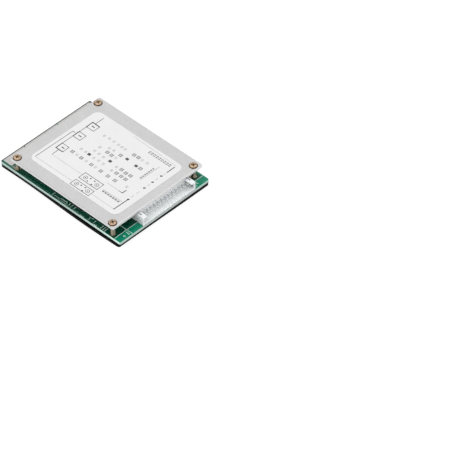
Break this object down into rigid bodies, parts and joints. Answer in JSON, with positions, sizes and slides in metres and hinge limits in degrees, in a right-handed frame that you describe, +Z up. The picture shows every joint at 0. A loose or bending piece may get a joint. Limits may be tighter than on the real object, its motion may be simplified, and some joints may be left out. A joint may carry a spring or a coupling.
{
  "type": "battery management board",
  "caption": "Flat green circuit board under a screwed aluminium heat-spreading cover, with a white side-entry header for cell balance wires.",
  "frame": {"origin": "bottom centre of the whole part, on the underside of the insulating sheet", "axes": "+X along the board towards the header, +Y across the board, +Z up through the cover"},
  "size_m": [0.0694, 0.0518, 0.0096],
  "materials": {
    "sheet_black": "matte",
    "board_green": "satin solder mask",
    "tinned_pad": "dull tinned",
    "plate_aluminium": "fine satin",
    "label_paper": "semi-matte",
    "screw_brass": "plain",
    "insert_brass": "plain",
    "header_nylon": "satin moulded",
    "pin_tinned": "tinned",
    "solder": "bright",
    "epoxy_black": "matte moulded",
    "tab_tinned": "tinned",
    "lead_tinned": "tinned",
    "pad_silicone": "matte",
    "shunt_alloy": "matte",
    "shunt_copper": "tinned",
    "resistor_body": "coated",
    "capacitor_body": "matte",
    "cap_tinned": "tinned"
  },
  "bodies": {
    "root": {"insulating_sheet": "sheet_black", "circuit_board": "board_green", "terminal_pads": "tinned_pad", "cover_plate": "plate_aluminium", "label": "label_paper", "cover_screws": "screw_brass", "board_inserts": "insert_brass", "header_housing": "header_nylon", "header_pins": "pin_tinned", "header_solder": "solder", "mosfet_bodies": "epoxy_black", "mosfet_tabs": "tab_tinned", "mosfet_leads": "lead_tinned", "thermal_pads": "pad_silicone", "shunt_elements": "shunt_alloy", "shunt_ends": "shunt_copper", "controller_body": "epoxy_black", "controller_leads": "lead_tinned", "driver_bodies": "epoxy_black", "driver_leads": "lead_tinned", "diode_bodies": "epoxy_black", "diode_straps": "lead_tinned", "capacitor_bodies": "capacitor_body", "capacitor_caps": "cap_tinned", "monitor_bodies": "epoxy_black", "monitor_leads": "lead_tinned", "balance_bodies": "epoxy_black", "balance_leads": "lead_tinned", "resistor_bodies": "resistor_body", "resistor_caps": "cap_tinned"}
  },
  "joints": []
}
